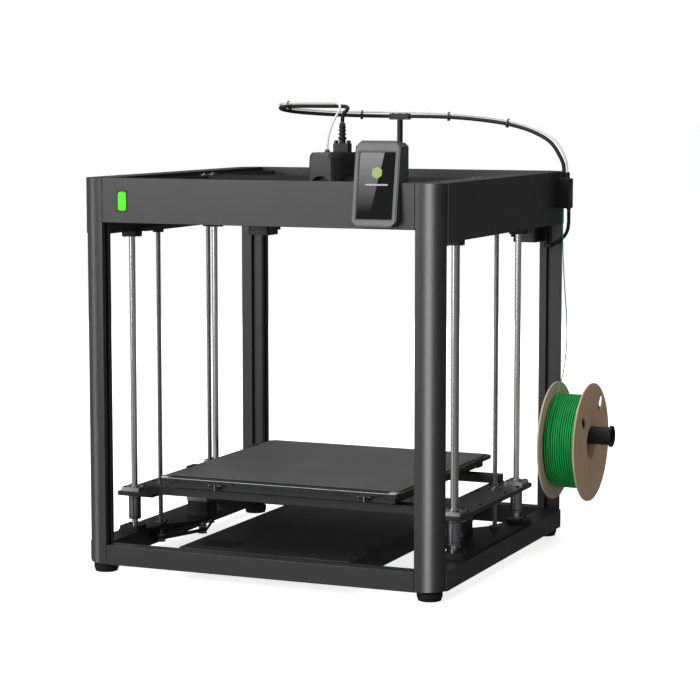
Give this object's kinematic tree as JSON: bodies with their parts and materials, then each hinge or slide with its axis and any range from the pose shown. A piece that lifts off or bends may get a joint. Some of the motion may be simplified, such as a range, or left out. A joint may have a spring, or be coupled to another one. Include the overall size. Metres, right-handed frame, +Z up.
{
  "type": "fdm printer",
  "caption": "Desktop plastic-extrusion 3-D printer with an open cube frame, a lifting heated bed, an overhead gantry with its print head, a touch display and a side spool.",
  "frame": {"origin": "middle of the whole printer's footprint, with the spool and its holder, on the surface it stands on", "axes": "+X to the printer's right, +Y to its back, +Z up; the display is on the front"},
  "size_m": [0.722, 0.6294, 0.7457],
  "materials": {
    "frame_coat": "satin dark grey coating on aluminium sections",
    "foot_rubber": "matt black",
    "status_green": "glowing green diffuser",
    "rail_steel": "ground and polished",
    "screw_steel": "rolled thread, lightly oiled",
    "plastic_black": "moulded, fine texture",
    "sheet_black": "matt black powder coat",
    "motor_black": "black enamel",
    "pulley_aluminium": "turned",
    "supply_case": "plain sheet",
    "circuit_green": "circuit board",
    "carriage_black": "matt black anodised",
    "bed_aluminium": "black anodised, with a bare front edge",
    "plate_coat": "fine grained dark coating",
    "plastic_grey": "satin moulded",
    "display_glass": "black glass",
    "cardboard": "pressed kraft board",
    "filament_green": "drawn plastic strand",
    "cable_black": "matt jacket",
    "tube_white": "milky fluoropolymer"
  },
  "bodies": {
    "frame": {"column_front_left": "frame_coat", "column_front_right": "frame_coat", "column_rear_left": "frame_coat", "column_rear_right": "frame_coat", "top_beam_front": "frame_coat", "top_beam_rear": "frame_coat", "top_panel_left": "frame_coat", "top_panel_right": "frame_coat", "bottom_beam_front": "frame_coat", "bottom_beam_rear": "frame_coat", "base_rail_left": "frame_coat", "base_rail_right": "frame_coat", "foot_front_left": "foot_rubber", "foot_front_right": "foot_rubber", "foot_rear_left": "foot_rubber", "foot_rear_right": "foot_rubber", "status_light": "status_green", "y_rail_left": "rail_steel", "y_rail_right": "rail_steel", "guide_rod_front_left": "rail_steel", "guide_rod_front_right": "rail_steel", "guide_rod_rear_left": "rail_steel", "guide_rod_rear_right": "rail_steel", "runout_sensor": "plastic_black", "spool_holder": "plastic_black", "cable_post": "plastic_black", "base_tray": "sheet_black", "base_cover": "sheet_black", "z_motor_left": "motor_black", "z_motor_right": "motor_black", "xy_motor_left": "motor_black", "xy_motor_right": "motor_black", "power_supply": "supply_case", "mainboard": "circuit_green", "display_housing": "plastic_grey", "display_glass": "display_glass", "filament_strand": "filament_green", "head_cable": "cable_black", "sensor_cable": "cable_black", "filament_tube": "tube_white"},
    "bed": {"bed_carriage": "carriage_black", "heated_bed": "bed_aluminium", "build_plate": "plate_coat"},
    "gantry": {"gantry_beam": "carriage_black"},
    "head": {"head_carriage": "plastic_black", "head_cover": "plastic_grey", "hotend": "pulley_aluminium", "head_connector": "plastic_black"},
    "fan": {"head_fan": "plastic_black"},
    "spool": {"spool": "cardboard", "filament_winding": "filament_green"},
    "switch": {"power_switch": "plastic_black"},
    "screw_front_left": {"lead_screw_front_left": "screw_steel"},
    "screw_front_right": {"lead_screw_front_right": "screw_steel"},
    "screw_rear_left": {"lead_screw_rear_left": "screw_steel"},
    "screw_rear_right": {"lead_screw_rear_right": "screw_steel"},
    "z_pulley_left": {"z_motor_pulley_left": "pulley_aluminium"},
    "xy_pulley_left": {"xy_motor_pulley_left": "pulley_aluminium"},
    "z_pulley_right": {"z_motor_pulley_right": "pulley_aluminium"},
    "xy_pulley_right": {"xy_motor_pulley_right": "pulley_aluminium"}
  },
  "joints": [
    {"name": "bed_lift", "type": "slide", "parent": "frame", "child": "bed", "axis": [0, 0, 1], "range_m": [0, 0.4]},
    {"name": "gantry_y", "type": "slide", "parent": "frame", "child": "gantry", "axis": [0, 1, 0], "range_m": [-0.187, 0.213], "deforming": ["head_cable", "filament_tube"]},
    {"name": "head_x", "type": "slide", "parent": "gantry", "child": "head", "axis": [1, 0, 0], "range_m": [-0.196, 0.204]},
    {"name": "fan_spin", "type": "hinge", "parent": "head", "child": "fan", "pos_m": [-0.06, -0.03025, 0.6026], "axis": [0, 1, 0], "continuous": true},
    {"name": "spool_turn", "type": "hinge", "parent": "frame", "child": "spool", "pos_m": [0.293, 0.21275, 0.1786], "axis": [1, 0, 0], "continuous": true},
    {"name": "switch_rock", "type": "hinge", "parent": "frame", "child": "switch", "pos_m": [0.017, 0.31125, 0.0311], "axis": [1, 0, 0], "range_deg": [-18.3, 0]},
    {"name": "screw_front_left_turn", "type": "hinge", "parent": "frame", "child": "screw_front_left", "pos_m": [-0.317, -0.11325, 0.3026], "axis": [0, 0, 1], "continuous": true},
    {"name": "screw_front_right_turn", "type": "hinge", "parent": "frame", "child": "screw_front_right", "pos_m": [0.205, -0.11325, 0.3026], "axis": [0, 0, 1], "continuous": true},
    {"name": "screw_rear_left_turn", "type": "hinge", "parent": "frame", "child": "screw_rear_left", "pos_m": [-0.317, 0.06875, 0.3026], "axis": [0, 0, 1], "continuous": true},
    {"name": "screw_rear_right_turn", "type": "hinge", "parent": "frame", "child": "screw_rear_right", "pos_m": [0.205, 0.06875, 0.3026], "axis": [0, 0, 1], "continuous": true},
    {"name": "z_pulley_left_turn", "type": "hinge", "parent": "frame", "child": "z_pulley_left", "pos_m": [-0.286, -0.02225, 0.0326], "axis": [0, 0, 1], "continuous": true},
    {"name": "z_pulley_right_turn", "type": "hinge", "parent": "frame", "child": "z_pulley_right", "pos_m": [0.174, -0.02225, 0.0326], "axis": [0, 0, 1], "continuous": true},
    {"name": "xy_pulley_left_turn", "type": "hinge", "parent": "frame", "child": "xy_pulley_left", "pos_m": [-0.305, 0.26375, 0.5526], "axis": [0, 0, 1], "continuous": true},
    {"name": "xy_pulley_right_turn", "type": "hinge", "parent": "frame", "child": "xy_pulley_right", "pos_m": [0.193, 0.26375, 0.5526], "axis": [0, 0, 1], "continuous": true}
  ],
  "couplings": [
    {"joint": "screw_front_left_turn", "follows": "bed_lift", "rad_per_m": 785.4},
    {"joint": "screw_front_right_turn", "follows": "bed_lift", "rad_per_m": 785.4},
    {"joint": "screw_rear_left_turn", "follows": "bed_lift", "rad_per_m": 785.4},
    {"joint": "screw_rear_right_turn", "follows": "bed_lift", "rad_per_m": 785.4},
    {"joint": "z_pulley_left_turn", "follows": "bed_lift", "rad_per_m": 785.4},
    {"joint": "z_pulley_right_turn", "follows": "bed_lift", "rad_per_m": 785.4},
    {"joint": "xy_pulley_left_turn", "follows": "gantry_y", "rad_per_m": -157.08},
    {"joint": "xy_pulley_right_turn", "follows": "gantry_y", "rad_per_m": 157.08}
  ]
}
